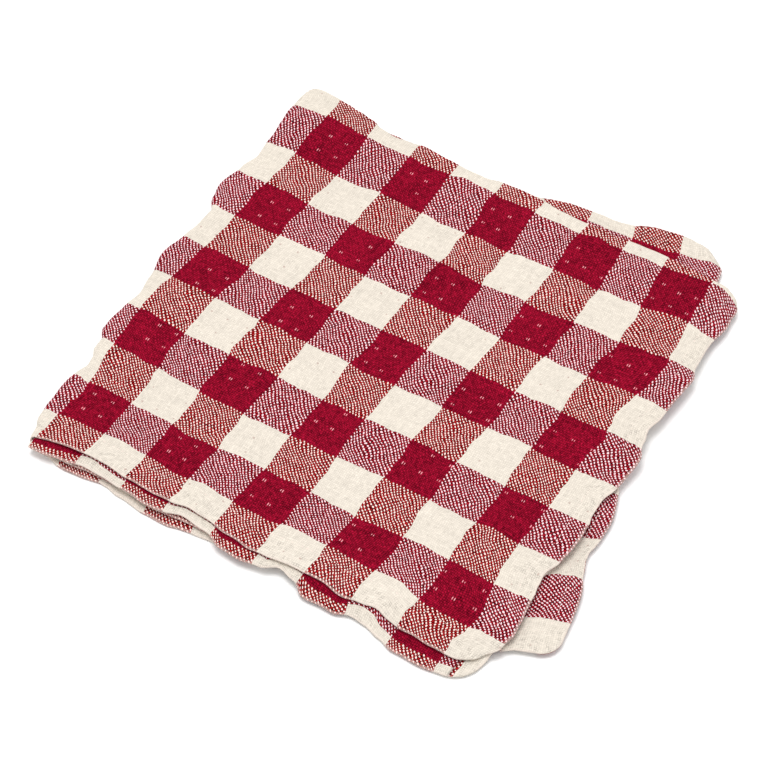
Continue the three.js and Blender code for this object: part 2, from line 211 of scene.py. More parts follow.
DRAWN_ASIDE = table("across along wide deep aside ahead", [
    (0.5, 8.6, 1.3, 1.3, 0.17, 0.0),
    (1.5, 6.0, 1.2, 1.2, -0.14, 0.0),
    (9.6, 5.5, 1.6, 1.6, -0.08, 0.0),
    (9.6, 2.6, 1.4, 1.4, 0.0, -0.14),
    (5.0, 5.0, 3.0, 3.0, 0.05, 0.0),
    (4.5, 0.2, 6.0, 0.7, 0.0, -0.13),
    (9.6, 0.4, 0.9, 0.9, -0.08, -0.18),
    (9.2, 1.3, 1.5, 1.3, 0.17, 0.02),
    (9.6, 7.5, 0.8, 1.0, -0.09, 0.0),
    (1.5, 7.5, 0.8, 0.8, -0.08, 0.0),
    (8.5, 9.5, 1.0, 0.7, 0.0, 0.09),
    (8.6, 0.5, 1.3, 1.1, -0.20, -0.10),
    (0.2, 5.0, 0.7, 6.0, -0.05, 0.0),
    (0.4, 0.9, 0.8, 1.2, 0.0, -0.11),
    (3.2, 1.5, 3.5, 0.7, 0.06, 0.06),
    (6.0, 2.7, 2.2, 1.6, 0.05, 0.0),
    (0.2, 6.7, 0.9, 1.5, -0.13, -0.08),
    (2.5, 7.8, 2.6, 1.3, 0.0, 0.08),
    (4.5, 6.3, 5.0, 2.4, 0.0, 0.06),
    (6.2, 8.4, 2.6, 0.8, 0.06, 0.0),
    (7.0, 9.6, 2.0, 0.7, 0.05, -0.10),
    (-9.6, -8.0, 1.6, 2.6, 0.0, -0.30),
    (-8.0, -0.5, 3.5, 1.5, 0.0, -0.20),
])

# How the stack, the hems and the open edges waver: each row is one noise
STACK_WAVES = table("height size seed", [(0.6, 36, 1), (0.45, 17, 2), (0.2, 8, 4)])
HEM_RIPPLES = table("height size seed", [(0.65, 15, 3)])
FRONT_EDGE_WAVES = table("height size seed", [(0.6, 13, 20), (0.35, 6, 21)])
SIDE_EDGE_WAVES = table("height size seed", [(0.6, 13, 25), (0.35, 6, 26)])
FAR_FROM_THE_OTHER_HEM = 700.0

# How the seam draws the cloth in, and how much the gauze puffs up between its ties
SEAM_EASE = 0.8
SEAM_GROOVE = 0.16
SEAM_GROOVE_WIDTH = 1.1
PUCKER = 0.20

# Tie stitches hold the two cloths of the gauze together on an even grid, in checks: they wander
# a little, keep clear of a red square's edges, and are missing where their noise is high
TIE_STEP_ACROSS = 0.3865
TIE_STEP_ALONG = 0.422
TIE_START_ACROSS = 0.85
TIE_START_ALONG = 0.72
FIRST_TIE = -30
LAST_TIE = 23
TIE_WANDER = 0.035
TIE_CLEAR_OF_EDGE = 0.055
TIE_KEPT_BELOW = 0.62
NOISE_PER_CHECK = 9.0
TIE_WANDER_NOISE = 3.1
TIE_KEPT_NOISE = 2.3
TIE_WANDER_SEEDS = (21, 22)
TIE_KEPT_SEED = 23

# Threads of the stitches, in millimetres: each is drawn between the shortest and longest share
TIE_LENGTH = 1.9
TIE_WIDTH = 0.48
TIE_HALF_GAP = 0.55 * CHECK_ACROSS / WARP_PER_CHECK
HEM_STITCH_STEP = 2.6
HEM_STITCH_LENGTH = 1.5
HEM_STITCH_WIDTH = 0.36
HEM_STITCH_SINK = 0.08
STITCH_LIFT = 0.02
RUN_STEP = 0.6
SHORTEST_STITCH = 0.6
LONGEST_STITCH = 1.1
STITCH_SEED = 31
STITCH_SEGMENTS = 8
STITCH_RINGS = 5

# The whole flat cloth fits in the unit square of its unwrapped map
CHECKS_ACROSS_MAP = 24.0

# Camera, floor and light
CAMERA_AZIMUTH = 32.10
CAMERA_ELEVATION = 48.79
CAMERA_DISTANCE = 1421.2
CAMERA_AIM = (132.98, -145.64, 7.5)
FOCAL_PIXELS = 3000.0
PICTURE_PIXELS = 768.0
SENSOR = 36.0
NEAREST_SEEN = 0.05
FARTHEST_SEEN = 20.0
FLOOR_HALF = 3.0
FLOOR_DROP = 0.0002
FLOOR_GREY = 0.93
WORLD_STRENGTH = 0.95
SUN_STRENGTH = 1.52
SUN_ANGLE = 30.0
SUN_TOWARDS = (-0.17, 0.04, 1.0)


# Number helpers

LATTICE = 64
ABOVE_NOUGHT = 1000


def mix(a, b, share):
    return a + (b - a) * share


def ease(value, start, end):
    """Rises smoothly from 0 at the start to 1 at the end."""
    share = np.clip((value - start) / (end - start), 0, 1)
    return share * share * (3 - 2 * share)


def read_table(rows, key, at, column):
    """A column of a table at places between its rows."""
    keys = rows[key]
    values = rows[column]
    low = np.clip(np.searchsorted(keys, at) - 1, 0, len(keys) - 2)
    return mix(values[low], values[low + 1], ease(at, keys[low], keys[low + 1]))


def soft_noise(a, b, size, seed):
    """Smooth noise from -1 to 1 over two measures, with bumps of the given size."""
    lattice = np.random.default_rng(seed).uniform(-1, 1, (LATTICE, LATTICE))
    a = a / size + ABOVE_NOUGHT
    b = b / size + ABOVE_NOUGHT
    column = np.floor(a).astype(int)
    row = np.floor(b).astype(int)
    fa = ease(a - column, 0, 1)
    fb = ease(b - row, 0, 1)
    row = row % LATTICE
    column = column % LATTICE
    next_row = (row + 1) % LATTICE
    next_column = (column + 1) % LATTICE
    corner = lattice[row, column]
    beside = lattice[row, next_column]
    above = lattice[next_row, column]
    across = lattice[next_row, next_column]
    return mix(mix(corner, beside, fa), mix(above, across, fa), fb)


# Folding

def back_bulge(across):
    """How far the back fold lies out behind its axis."""
    lower_share = lower_share_at(across)
    upper = read_table(BACK_FOLDS, "away", np.abs(across), "upper")
    lower = read_table(BACK_FOLDS, "away", np.abs(across), "lower")
    return mix(upper, lower, lower_share)


def lower_share_at(across):
    """How far round the side fold the cloth is, towards the lower pair."""
    return ease(-across, -SIDE_AXIS_AT_BACK, -SIDE_AXIS_AT_BACK + SIDE_RADIUS * math.pi)


def third_share_at(across):
    """How far the third layer, and not the bottom one, keeps its checks at the back fold."""
    return ease(-across, THIRD_SHARE_START, THIRD_SHARE_END)


def fold_back(along, bulge, third_share):
    """The distance in front of the back fold's axis, and the level in a pair from -1 to 1.

    The upper leaf of each pair keeps its checks in place, and the leaf under it gives the cloth.
    """
    past = along - BACK_FOLD_AT + bulge * (1 - 2 * third_share)
    half_turn = LEAF_RADIUS * math.pi / 2
    angle = np.clip(past, -half_turn, half_turn) / LEAF_RADIUS
    beyond = np.maximum(np.abs(past) - half_turn, 0)
    giving = np.where(past < 0, 1 - third_share, third_share)
    given_back = giving * 2 * bulge * ease(beyond, 0, BACK_BULGE_FADE)
    reach = beyond - bulge + given_back - LEAF_RADIUS * np.cos(angle)
    return reach, np.sin(angle)


def side_fold_at(reach, level):
    """Radius, half length, axis and bulge of the side fold."""
    radius = SIDE_RADIUS + LEAF_RADIUS * level
    axis = read_table(SIDE_FOLD, "reach", reach, "axis")
    bulge = axis - SIDE_AXIS_AT_BACK - SIDE_FOLD_LEAN * reach
    return radius, radius * math.pi / 2, axis, bulge


def fold_side(across, reach, level):
    """X, the rise above the middle of the stack, and how far the cloth is turned, 0 to 1."""
    radius, half_turn, axis, bulge = side_fold_at(reach, level)
    past = across - axis + half_turn
    angle = np.clip(past, -half_turn, half_turn) / radius
    beyond = np.maximum(np.abs(past) - half_turn, 0)
    given_back = np.where(past < 0, 2 * bulge * ease(beyond, 0, SIDE_BULGE_FADE), 0)
    x = axis - radius * np.cos(angle) + beyond - given_back
    return x, radius * np.sin(angle), (1 - np.sin(angle)) / 2


def layer_shift(rows, key, at, level, turned):
    """A hem's shift on any layer, from the shifts of the four layers."""
    upper_share = (1 + level) / 2
    top, second, third, bottom = [
        read_table(rows, key, at, layer) for layer in ("top", "second", "third", "bottom")
    ]
    return mix(mix(second, top, upper_share), mix(third, bottom, upper_share), turned)


def sink_of_upper_pair(x, reach):
    past_right = x - (LOWER_RIGHT_EDGE_AT_BACK + LOWER_RIGHT_EDGE_LEAN * reach)
    past_front = reach - read_table(LOWER_FRONT_EDGE, "x", x, "reach")
    past = np.maximum(past_right, past_front)
    return SINK_DEPTH * ease(past, SINK_START, SINK_START + SINK_WIDTH)


def swell_at(x, y):
    swell = np.zeros_like(x)
    for cx, cy, radius, height in zip(*SWELLINGS.values()):
        swell += height * np.exp(-((x - cx) ** 2 + (y - cy) ** 2) / radius ** 2)
    return swell


def corner_pull(share, other_share, rounding):
    """Draws one measure in to a quarter circle near a corner."""
    return rounding * share * (1 - np.sqrt(1 - other_share ** 2 / 2))


def corner_share(to_edge, rounding):
    return np.clip(1 - to_edge / rounding, 0, 1)


def hem_across_at(across):
    return np.where(across < 0, HEM_LEFT, HEM_RIGHT)


def hem_along_at(across, along):
    share = (across + HEM_LEFT) / (HEM_LEFT + HEM_RIGHT)
    behind = mix(HEM_BEHIND_LEFT, HEM_BEHIND_RIGHT, share)
    return np.where(along < 0, behind, HEM_AHEAD)


def waves(rows, a, b):
    """The noises of a table, summed."""
    total = np.zeros_like(a)
    for height, size, seed in zip(*rows.values()):
        total += height * soft_noise(a, b, size, int(seed))
    return total


def edge_wave(rows, run, other_hem):
    """How an open edge wavers in the plane of the cloth."""
    at = run + FAR_FROM_THE_OTHER_HEM * other_hem
    return waves(rows, at, at * 0)


def place(across, along, hem_across, hem_along):
    """Where points of the flat cloth lie in the folded napkin, on the middle of the sheet."""
    bulge = back_bulge(across)
    reach, level = fold_back(along, bulge, third_share_at(across))
    straight_x, rise, turned = fold_side(across, reach, level)
    axis = side_fold_at(reach, level)[2]
    hem_reached = np.minimum(np.abs(along) / hem_along, 1)
    side_reached = np.minimum(np.abs(across) / hem_across, 1)
    on_top = (1 - turned) * (1 + level) / 2
    hem_share = mix(hem_reached ** HIDDEN_HEM_STIFFNESS, hem_reached ** TOP_HEM_STIFFNESS, on_top)
    side_share = side_reached ** TOP_HEM_STIFFNESS
    front_shift = layer_shift(FRONT_HEMS, "x", straight_x, level, turned) * hem_share
    right_shift = layer_shift(RIGHT_HEMS, "reach", reach, level, turned) * side_share
    front_wave = edge_wave(FRONT_EDGE_WAVES, across, along < 0)
    side_wave = edge_wave(SIDE_EDGE_WAVES, along, across < 0)
    front_shift += front_wave * hem_reached ** EDGE_WAVE_STIFFNESS
    right_shift += side_wave * side_reached ** EDGE_WAVE_STIFFNESS
    turn = turned * LOWER_PAIR_TURN * (straight_x - axis)
    hem_near = corner_share(hem_across - np.abs(across), FOLD_END_ROUNDING)
    fold_near = corner_share(reach + bulge + LEAF_RADIUS, FOLD_END_ROUNDING)
    end_reach = corner_pull(fold_near, hem_near, FOLD_END_ROUNDING)
    end_x = corner_pull(hem_near, fold_near, FOLD_END_ROUNDING)
    final_reach = reach + end_reach + front_shift - turn
    skew_share = turned * ease(straight_x - axis, 0, SKEW_EASE_WIDTH)
    skew = LOWER_PAIR_SKEW * (final_reach - SKEW_REST_REACH) * skew_share
    x = straight_x - end_x + right_shift + skew
    y = -BACK_AXIS - final_reach
    flat_z = STACK_MIDDLE + rise - (1 - turned) * sink_of_upper_pair(x, final_reach)
    share_up = ease(flat_z, SOLID_THICKNESS, 2 * STACK_MIDDLE)
    stack_wave = waves(STACK_WAVES, x, y)
    near_hem = np.maximum(hem_reached, side_reached) ** RIPPLE_STIFFNESS
    hem_ripple = waves(HEM_RIPPLES, across, along) * near_hem
    uneven = swell_at(x, y) + stack_wave + hem_ripple + crease_height(across, along, on_top)
    z = flat_z + uneven * share_up
    return np.stack([x, y, z], axis=-1)


def crease_height(across, along, on_top):
    height = np.zeros_like(across)
    for a0, b0, a1, b1, width, deep in zip(*CREASES.values()):
        run = np.array([a1 - a0, b1 - b0])
        at = ((across - a0) * run[0] + (along - b0) * run[1]) / (run @ run)
        share = np.clip(at, 0, 1)
        off = np.hypot(across - a0 - share * run[0], along - b0 - share * run[1])
        height += deep * np.exp(-(off / width) ** 2)
    return height * on_top ** 2


# The fine sheet

HEM_STEPS = (0.0, 0.6, 1.8, 3.6, 5.6, 7.8, 9.8, 11.3, 12.5, 13.7)
FINE_STEP = 2.05
COARSE_STEP = 5.0
STEPS_AROUND_FOLD = 10

# The columns are first laid out as if the side fold had next to no length
NO_TURN = 0.1


def measures(fold_middle, half_length, low_hem, high_hem, low_step, high_step):
    """Measures from one hem over the fold to the other: fine in the hems and around the fold."""
    hem = np.array(HEM_STEPS)
    low_count = round((low_hem - hem[-1]) / low_step)
    high_count = round((high_hem - hem[-1]) / high_step)
    low_leaf = np.linspace(0, 1, low_count + 1)[1:-1]
    high_leaf = np.linspace(0, 1, high_count + 1)[1:-1]
    turn = np.linspace(-1, 1, STEPS_AROUND_FOLD + 1)
    fold_start = fold_middle - half_length
    fold_end = fold_middle + half_length
    parts = [
        [hem_at - low_hem for hem_at in hem],
        [mix(hem[-1] - low_hem, fold_start, share) for share in low_leaf],
        [fold_middle + half_length * share for share in turn],
        [mix(fold_end, high_hem - hem[-1], share) for share in high_leaf],
        [high_hem - hem_at for hem_at in hem[::-1]],
    ]
    return np.array([value for part in parts for value in part])


def cloth_grid():
    """Flat measures of every grid point: rows run along the cloth and columns across it."""
    steps = (COARSE_STEP, FINE_STEP)
    side_hems = (HEM_LEFT, HEM_RIGHT)
    about_across = measures(SIDE_AXIS_AT_BACK - SIDE_RADIUS, NO_TURN, *side_hems, *steps)
    half_turn = LEAF_RADIUS * math.pi / 2
    columns = []
    for across in about_across:
        bulge = float(back_bulge(np.array(across)) * (1 - 2 * third_share_at(across)))
        behind = float(hem_along_at(np.array(across), np.array(-1.0)))
        columns.append(measures(BACK_FOLD_AT - bulge, half_turn, behind, HEM_AHEAD, *steps))
    rows = min(len(column) for column in columns)
    along = np.stack([resampled(column, rows) for column in columns], axis=1)
    bulges = back_bulge(about_across)[None, :]
    third_shares = third_share_at(about_across)[None, :]
    reach, level = fold_back(along, bulges, third_shares)
    _, half_turns, axes, _ = side_fold_at(reach, level)
    across = np.empty_like(along)
    for row in range(rows):
        for column in range(len(about_across)):
            turn = half_turns[row, column]
            middle = axes[row, column] - turn
            across[row, column] = measures(middle, turn, *side_hems, *steps)[column]
    return across, along


def resampled(values, count):
    """The same measures with one or two points of the hidden leaf left out."""
    spare = len(values) - count
    first = len(HEM_STEPS)
    return np.delete(values, range(first, first + spare))


def grid_normals(points):
    along = np.gradient(points, axis=0)
    across = np.gradient(points, axis=1)
    normals = np.cross(along, across)
    return normals / np.linalg.norm(normals, axis=-1, keepdims=True)


def tie_pucker(across, along):
    """The gauze puffs up a little between its tie stitches: 0 at a tie and 1 far from it."""
    a = (across / CHECK_ACROSS - TIE_START_ACROSS) / TIE_STEP_ACROSS
    b = (along / CHECK_ALONG - TIE_START_ALONG) / TIE_STEP_ALONG
    return 1 - np.cos(math.pi * a) ** 2 * np.cos(math.pi * b) ** 2


def drawn_aside(u, v):
    aside = np.zeros_like(u)
    ahead = np.zeros_like(u)
    for cu, cv, wide, deep, da, db in zip(*DRAWN_ASIDE.values()):
        share = np.exp(-((u - cu) / wide) ** 2 - ((v - cv) / deep) ** 2)
        aside += da * share
        ahead += db * share
    return aside, ahead


def sheet_shape():
    """The sheet's middle surface, its normals, its half thickness and its measures."""
    straight_across, straight_along = cloth_grid()
    hem_across = hem_across_at(straight_across)
    hem_along = hem_along_at(straight_across, straight_along)
    a = corner_share(hem_across - np.abs(straight_across), CORNER_ROUNDING)
    b = corner_share(hem_along - np.abs(straight_along), CORNER_ROUNDING)
    across = straight_across - np.sign(straight_across) * corner_pull(a, b, CORNER_ROUNDING)
    along = straight_along - np.sign(straight_along) * corner_pull(b, a, CORNER_ROUNDING)
    middle = place(across, along, hem_across, hem_along)
    normals = grid_normals(middle)
    to_side = hem_across - np.abs(across)
    to_front = hem_along - np.abs(along)
    straight_to_side = hem_across - np.abs(straight_across)
    straight_to_front = hem_along - np.abs(straight_along)
    to_edge = np.minimum(straight_to_side, straight_to_front)
    in_hem = np.maximum(
        ease(straight_to_side, SIDE_HEM_WIDTH + SEAM_EASE, SIDE_HEM_WIDTH - SEAM_EASE),
        ease(straight_to_front, FRONT_HEM_WIDTH + SEAM_EASE, FRONT_HEM_WIDTH - SEAM_EASE),
    )
    full = SHEET + HEM_THICKENING * in_hem
    edge = ease(to_edge, 0, EDGE_TAPER) ** 0.5
    half = mix(EDGE_THICKNESS, full, edge) / 2
    half = half + PUCKER * tie_pucker(across, along) * (1 - in_hem) * (to_edge > EDGE_TAPER)
    seam = np.maximum(
        np.exp(-((straight_to_side - SIDE_HEM_WIDTH) / SEAM_GROOVE_WIDTH) ** 2),
        np.exp(-((straight_to_front - FRONT_HEM_WIDTH) / SEAM_GROOVE_WIDTH) ** 2),
    )
    half = half - SEAM_GROOVE * seam
    return middle, normals, half, across, along, to_side, to_front


def to_frame(points):
    """From millimetres around the top layer to metres in the part's frame."""
    return (points - np.array([MIDDLE[0], MIDDLE[1], 0.0])) * MM


def mesh_object(name, vertices, faces, smooth=True):
    mesh = bpy.data.meshes.new(name)
    mesh.from_pydata([tuple(v) for v in vertices], [], [tuple(f) for f in faces])
    if smooth:
        mesh.shade_smooth()
    thing = bpy.data.objects.new(name, mesh)
    bpy.context.scene.collection.objects.link(thing)
    return thing


def sheet_faces(rows, columns):
    """Quads of the face, the back and the rim between them."""
    row, column = np.meshgrid(np.arange(rows - 1), np.arange(columns - 1), indexing="ij")
    a = (row * columns + column).ravel()
    face = np.stack([a, a + columns, a + columns + 1, a + 1], axis=1)
    under = rows * columns
    back = face[:, ::-1] + under
    rim_row = np.arange(rows - 1)
    rim_column = np.arange(columns - 1)
    last = (rows - 1) * columns
    starts = [
        (rim_column, rim_column + 1),
        (last + rim_column + 1, last + rim_column),
        ((rim_row + 1) * columns, rim_row * columns),
        (rim_row * columns + columns - 1, (rim_row + 1) * columns + columns - 1),
    ]
    rims = [np.stack([p, q, q + under, p + under], axis=1) for p, q in starts]
    return np.concatenate([face, back, *rims])


def add_attribute(mesh, name, values):
    layer = mesh.attributes.new(name, "FLOAT_VECTOR", "POINT")
    layer.data.foreach_set("vector", np.asarray(values, dtype=np.float32).ravel())


def build_cloth(shape):
    middle, normals, half, across, along, to_side, to_front = shape
    rows, columns = across.shape
    offset = normals * half[..., None]
    points = np.concatenate([(middle + offset).reshape(-1, 3), (middle - offset).reshape(-1, 3)])
    points[:, 2] = np.maximum(points[:, 2], LOWEST)
    cloth = mesh_object("napkin_cloth", to_frame(points), sheet_faces(rows, columns))
    u = across / CHECK_ACROSS
    v = along / CHECK_ALONG
    aside, ahead = drawn_aside(u, v)
    checks = np.stack([u - aside, v - ahead, np.zeros_like(u)], axis=-1).reshape(-1, 3)
    wrong_side = np.array([0.0, 0.0, 1.0])
    add_attribute(cloth.data, "checks", np.concatenate([checks, checks + wrong_side]))
    hems = np.stack([to_side, to_front, np.minimum(to_side, to_front)], axis=-1).reshape(-1, 3)
    add_attribute(cloth.data, "hems", np.concatenate([hems, hems]))
    corners = np.empty(len(cloth.data.loops), dtype=np.int32)
    cloth.data.loops.foreach_get("vertex_index", corners)
    both = np.concatenate([checks, checks])[corners][:, :2]
    unwrapped = cloth.data.uv_layers.new(name="cloth")
    unwrapped.data.foreach_set("uv", (0.5 + both / CHECKS_ACROSS_MAP).astype(np.float32).ravel())
    return cloth


# Shader maths as plain expressions

NOISE_SPREAD = 2.6


class Term:
    """A number in a shader, so that sums and products are written as Python expressions."""

    def __init__(self, tree, socket):
        self.tree = tree
        self.socket = socket

    def maths(self, operation, *values):
        node = self.tree.nodes.new("ShaderNodeMath")
        node.operation = operation
        for socket, value in zip(node.inputs, values):
            if isinstance(value, Term):
                self.tree.links.new(value.socket, socket)
            else:
                socket.default_value = value
        return Term(self.tree, node.outputs[0])

    def __add__(self, other):
        return self.maths("ADD", self, other)

    def __radd__(self, other):
        return self.maths("ADD", other, self)

    def __sub__(self, other):
        return self.maths("SUBTRACT", self, other)

    def __rsub__(self, other):
        return self.maths("SUBTRACT", other, self)

    def __mul__(self, other):
        return self.maths("MULTIPLY", self, other)

    def __rmul__(self, other):
        return self.maths("MULTIPLY", other, self)

    def __truediv__(self, other):
        return self.maths("DIVIDE", self, other)

    def __rtruediv__(self, other):
        return self.maths("DIVIDE", other, self)

    def __pow__(self, other):
        return self.maths("POWER", self, other)

    def __abs__(self):
        return self.maths("ABSOLUTE", self)

    def __gt__(self, other):
        return self.maths("GREATER_THAN", self, other)

    def __lt__(self, other):
        return self.maths("LESS_THAN", self, other)

    def floor(self):
        return self.maths("FLOOR", self)

    def fraction(self):
        return self.maths("FRACT", self)

    def sine(self):
        return self.maths("SINE", self)

    def cosine(self):
        return self.maths("COSINE", self)

    def rise(self, start, end):
        """0 below the start, 1 above the end, and smooth between them."""
        node = self.tree.nodes.new("ShaderNodeMapRange")
        node.interpolation_type = "SMOOTHSTEP"
        self.tree.links.new(self.socket, node.inputs["Value"])
        node.inputs["From Min"].default_value = start
        node.inputs["From Max"].default_value = end
        return Term(self.tree, node.outputs["Result"])


class Tree:
    """A material's node tree, with one method that makes any node."""

    def __init__(self, name):
        self.material = bpy.data.materials.new(name)
        self.material.use_nodes = True
        self.tree = self.material.node_tree
        self.tree.nodes.clear()

    def node(self, kind, settings=None, **values):
        made = self.tree.nodes.new(kind)
        for key, value in (settings or {}).items():
            setattr(made, key, value)
        for key, value in values.items():
            socket = made.inputs[key.replace("_", " ")]
            if isinstance(value, Term):
                self.tree.links.new(value.socket, socket)
            elif isinstance(value, bpy.types.NodeSocket):
                self.tree.links.new(value, socket)
            else:
                socket.default_value = value
        return made

    def split(self, socket):
        made = self.node("ShaderNodeSeparateXYZ", Vector=socket)
        return [Term(self.tree, output) for output in made.outputs]

    def join(self, x, y, z=0.0):
        return self.node("ShaderNodeCombineXYZ", X=x, Y=y, Z=z).outputs[0]

    def noise(self, where, size, detail=1.0):
        """Noise from -1 to 1, with bumps of the given size in the units of the place."""
        made = self.node("ShaderNodeTexNoise", {"noise_dimensions": "3D"}, Vector=where,
                         Scale=1.0 / size, Detail=detail, Roughness=0.5)
        return (Term(self.tree, made.outputs["Fac"]) - 0.5) * NOISE_SPREAD

    def random(self, where):
        made = self.node("ShaderNodeTexWhiteNoise", {"noise_dimensions": "3D"}, Vector=where)
        return Term(self.tree, made.outputs["Value"])

    def mix_colour(self, share, a, b):
        made = self.node("ShaderNodeMix", {"data_type": "RGBA"})
        for socket, value in ((made.inputs[0], share), (made.inputs[6], a), (made.inputs[7], b)):
            if isinstance(value, Term):
                self.tree.links.new(value.socket, socket)
            elif isinstance(value, bpy.types.NodeSocket):
                self.tree.links.new(value, socket)
            elif isinstance(value, tuple):
                socket.default_value = (*value, 1.0)
            else:
                socket.default_value = value
        return made.outputs[2]

    def shade(self, colour, share):
        """A colour times a number."""
        made = self.node("ShaderNodeVectorMath", {"operation": "SCALE"}, Vector=colour, Scale=share)
        return made.outputs[0]

    def finish(self, **values):
        shader = self.node("ShaderNodeBsdfPrincipled", **values)
        self.node("ShaderNodeOutputMaterial", Surface=shader.outputs[0])
        return self.material


# Materials

CREAM = (0.665, 0.605, 0.525)
WARM_WHITE = (1.0, 0.68, 0.63)
COOL_WHITE = (1.0, 0.64, 0.68)
# pale colour of the painted highlight along the cloth's edges
PAINTED_EDGE_HIGHLIGHT = (0.80, 0.67, 0.60)
CRIMSON_WARP = (0.205, 0.003, 0.015)
CRIMSON_WEFT = (0.255, 0.004, 0.022)
WARM_RED = (0.355, 0.008, 0.010)
COOL_RED = (0.31, 0.007, 0.017)
TIE_FLECK = (0.25, 0.10, 0.09)
WHITE_FLOAT = (0.90, 0.36, 0.41)
SEAM_THREAD = (0.80, 0.66, 0.60)

# How far the weave wavers, in checks: in long bends, in bends of a few threads, and finely
WEAVE_WAVER = table("size across along", [
    (1.0, 0.085, 0.085),
    (0.4, 0.035, 0.035),
    (0.09, 0.012, 0.016),
])
OTHER_PLACE = (31.0, 17.0)
BACK_PLACE = 7.0
WARP_DRAW = 3.0
WEFT_DRAW = 5.0
HOLE_DRAW = 9.0

# Each thread has one colour, taken just past its middle. The floats lie in slanting rows, with a
# painted highlight on their crowns and painted shade at their edges; on the mixed squares the white
# ones end in a frayed edge.
THREAD_MIDDLE = 0.52
SLANT_SHARE = 0.50
FLOAT_EDGE = 0.10
CROWN_EDGE = 0.75
DASH_EDGE = (0.52, 0.70)
FRAY_FROM_SPOTS = 0.30
FRAY_FROM_NOISE = 0.40
FRAY_SIZE = 0.10
PATCH_SIZE = 0.8

# Turned strips, shadows and painted edge highlights, in millimetres
STEP_SHADOW_EDGE = (0.2, 1.0)
STEP_SHADOW = 0.45
EDGE_HIGHLIGHT_WIDTH = (0.3, 1.4)
EDGE_HIGHLIGHT_SHARE = 0.35

# Dark flecks at the ties of the white squares, in about the millimetres from tie to tie
MM_PER_TIE_STEP = (9.7, 10.9)
FLECK_EDGE = (0.10, 0.42)
FLECKS_LEFT_OUT = 0.55
FLECK_SHARE = 0.42

# Painted shade on a white square: how much darker it is between its threads, and at the pinholes of
# a few of them
GAP_SHADE_DEPTH = 0.13
HOLES_LEFT_OUT = 0.80
HOLE_SHADE_DEPTH = 0.12
DEEPER_IN_HEM = 0.16

# Relief of the weave, in metres and in checks
BUMP_HEIGHT = 0.0003
BUMP_STRENGTH = 0.45
RUFFLE_SIZE = 0.16


def weighed(base, terms, **shares):
    """A number plus named terms of the cloth, each times its share."""
    total = base
    for name, share in shares.items():
        total = terms[name] * share + total
    return total


